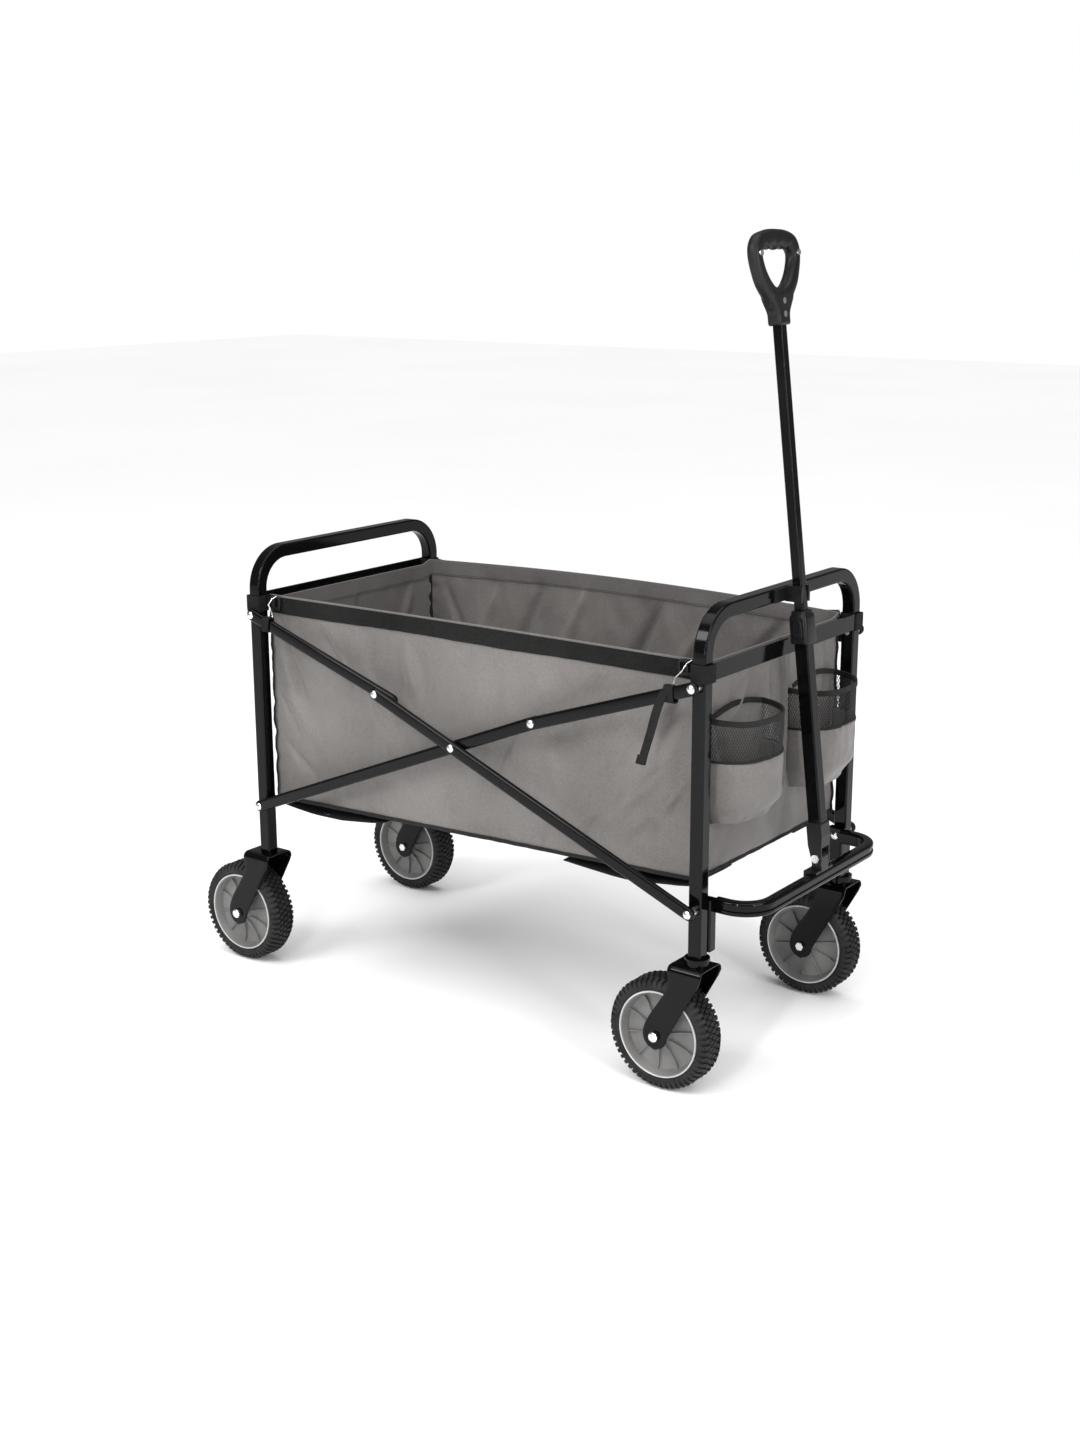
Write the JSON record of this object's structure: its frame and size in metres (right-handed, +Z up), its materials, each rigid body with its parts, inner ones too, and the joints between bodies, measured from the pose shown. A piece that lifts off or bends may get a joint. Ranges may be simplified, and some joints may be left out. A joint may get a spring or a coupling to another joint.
{
  "type": "folding wagon with pull handle",
  "caption": "Folding wagon with a fabric basket, scissor side linkage, swivelling front wheels, mesh cup pockets and a telescopic pull handle",
  "frame": {"origin": "On the ground under the middle of the wagon's outline, rear tyres to bumper and left to right.", "axes": "+X is the pulling direction, +Y the wagon's left side, +Z up."},
  "size_m": [1.1132, 0.521, 1.2664],
  "materials": {
    "frame_black": "satin black powder coat",
    "fabric_grey": "woven polyester",
    "pocket_mesh": "open mesh",
    "plastic_black": "moulded",
    "rim_grey": "moulded",
    "tyre_black": "moulded tread",
    "zinc": "bright zinc",
    "spring_steel": "plain"
  },
  "bodies": {
    "rear_frame": {"rear_hoop": "frame_black", "rear_legs": "frame_black", "rear_crossbar": "frame_black", "rear_forks": "frame_black", "rear_axles": "zinc", "rear_frame_rivets": "zinc", "basket_rear_wall": "fabric_grey", "basket_right_wall": "fabric_grey", "basket_left_wall": "fabric_grey", "basket_floor": "fabric_grey"},
    "right_arm_rear": {"right_arm_rear": "frame_black"},
    "right_arm_front": {"right_arm_front": "frame_black", "right_arm_front_rivets": "zinc"},
    "right_link_rear": {"right_link_rear": "frame_black"},
    "right_link_front": {"right_link_front": "frame_black", "right_link_front_rivet": "zinc"},
    "left_arm_rear": {"left_arm_rear": "frame_black"},
    "left_arm_front": {"left_arm_front": "frame_black", "left_arm_front_rivets": "zinc"},
    "left_link_rear": {"left_link_rear": "frame_black"},
    "left_link_front": {"left_link_front": "frame_black", "left_link_front_rivet": "zinc"},
    "front_frame": {"front_hoop": "frame_black", "front_legs": "frame_black", "front_crossbar": "frame_black", "leg_brackets": "frame_black", "bumper": "frame_black", "handle_bracket": "plastic_black", "handle_pin": "zinc", "handle_clip": "plastic_black", "front_frame_rivets": "zinc", "swivel_cups": "frame_black", "basket_front_wall": "fabric_grey", "right_cup_pocket": "pocket_mesh", "left_cup_pocket": "pocket_mesh"},
    "handle": {"handle_yoke": "plastic_black", "handle_tube_outer": "frame_black", "handle_sleeve": "plastic_black", "button_spring": "spring_steel"},
    "handle_inner": {"handle_tube_inner": "frame_black", "grip_front_half": "plastic_black", "grip_rear_half": "plastic_black", "grip_screws": "zinc"},
    "button": {"release_button": "plastic_black"},
    "right_caster": {"right_caster_fork": "frame_black", "right_caster_bolts": "zinc"},
    "front_right_wheel": {"front_right_tyre": "tyre_black", "front_right_rim": "rim_grey", "front_right_web": "rim_grey"},
    "rear_right_wheel": {"rear_right_tyre": "tyre_black", "rear_right_rim": "rim_grey", "rear_right_web": "rim_grey"},
    "left_caster": {"left_caster_fork": "frame_black", "left_caster_bolts": "zinc"},
    "front_left_wheel": {"front_left_tyre": "tyre_black", "front_left_rim": "rim_grey", "front_left_web": "rim_grey"},
    "rear_left_wheel": {"rear_left_tyre": "tyre_black", "rear_left_rim": "rim_grey", "rear_left_web": "rim_grey"}
  },
  "joints": [
    {"name": "fold", "type": "hinge", "parent": "rear_frame", "child": "right_arm_rear", "pos_m": [-0.4134, -0.2416, 0.2947], "axis": [0, -1, 0], "range_deg": [0, 54.28], "deforming": ["basket_right_wall", "basket_left_wall", "basket_floor"]},
    {"name": "right_cross", "type": "hinge", "parent": "right_arm_rear", "child": "right_arm_front", "pos_m": [0.0276, -0.2416, 0.4742], "axis": [0, -1, 0], "range_deg": [-108.58, 0]},
    {"name": "front_foot", "type": "hinge", "parent": "right_arm_front", "child": "front_frame", "pos_m": [0.4686, -0.252, 0.2947], "axis": [0, -1, 0], "range_deg": [0, 54.3]},
    {"name": "left_foot", "type": "hinge", "parent": "rear_frame", "child": "left_arm_rear", "pos_m": [-0.4134, 0.2416, 0.2947], "axis": [0, -1, 0], "range_deg": [0, 54.3]},
    {"name": "left_cross", "type": "hinge", "parent": "left_arm_rear", "child": "left_arm_front", "pos_m": [0.0276, 0.2416, 0.4742], "axis": [0, -1, 0], "range_deg": [-108.58, 0]},
    {"name": "right_rear_shoulder", "type": "hinge", "parent": "rear_frame", "child": "right_link_rear", "pos_m": [-0.4134, -0.2416, 0.6327], "axis": [0, -1, 0], "range_deg": [0, 94.52]},
    {"name": "right_front_shoulder", "type": "hinge", "parent": "front_frame", "child": "right_link_front", "pos_m": [0.4686, -0.252, 0.6327], "axis": [0, -1, 0], "range_deg": [-94.52, 0]},
    {"name": "left_rear_shoulder", "type": "hinge", "parent": "rear_frame", "child": "left_link_rear", "pos_m": [-0.4134, 0.2416, 0.6327], "axis": [0, -1, 0], "range_deg": [0, 94.52]},
    {"name": "left_front_shoulder", "type": "hinge", "parent": "front_frame", "child": "left_link_front", "pos_m": [0.4686, 0.252, 0.6327], "axis": [0, -1, 0], "range_deg": [-94.52, 0]},
    {"name": "handle_tilt", "type": "hinge", "parent": "front_frame", "child": "handle", "pos_m": [0.5474, 0, 0.33], "axis": [0, 1, 0], "range_deg": [0, 95]},
    {"name": "handle_extend", "type": "slide", "parent": "handle", "child": "handle_inner", "axis": [-0.1219, 0, 0.9925], "range_m": [-0.29, 0]},
    {"name": "button_press", "type": "slide", "parent": "handle", "child": "button", "axis": [0, 1, 0], "range_m": [0, 0.0015], "stiffness_N_per_m": 600, "springref_m": -0.001, "deforming": ["button_spring"]},
    {"name": "right_swivel", "type": "hinge", "parent": "front_frame", "child": "right_caster", "pos_m": [0.4686, -0.225, 0.208], "axis": [0, 0, 1], "continuous": true},
    {"name": "front_right_spin", "type": "hinge", "parent": "right_caster", "child": "front_right_wheel", "pos_m": [0.4144, -0.225, 0.089], "axis": [0, 1, 0], "continuous": true},
    {"name": "rear_right_spin", "type": "hinge", "parent": "rear_frame", "child": "rear_right_wheel", "pos_m": [-0.4676, -0.225, 0.089], "axis": [0, 1, 0], "continuous": true},
    {"name": "left_swivel", "type": "hinge", "parent": "front_frame", "child": "left_caster", "pos_m": [0.4686, 0.225, 0.208], "axis": [0, 0, 1], "continuous": true},
    {"name": "front_left_spin", "type": "hinge", "parent": "left_caster", "child": "front_left_wheel", "pos_m": [0.4144, 0.225, 0.089], "axis": [0, 1, 0], "continuous": true},
    {"name": "rear_left_spin", "type": "hinge", "parent": "rear_frame", "child": "rear_left_wheel", "pos_m": [-0.4676, 0.225, 0.089], "axis": [0, 1, 0], "continuous": true}
  ],
  "couplings": [
    {"joint": "right_cross", "follows": "fold", "ratio": -2},
    {"joint": "front_foot", "follows": "fold", "ratio": 1},
    {"joint": "left_foot", "follows": "fold", "ratio": 1},
    {"joint": "left_cross", "follows": "fold", "ratio": -2},
    {"joint": "right_rear_shoulder", "follows": "fold", "ratio": 1.7411},
    {"joint": "right_front_shoulder", "follows": "fold", "ratio": -1.7411},
    {"joint": "left_rear_shoulder", "follows": "fold", "ratio": 1.7411},
    {"joint": "left_front_shoulder", "follows": "fold", "ratio": -1.7411}
  ]
}
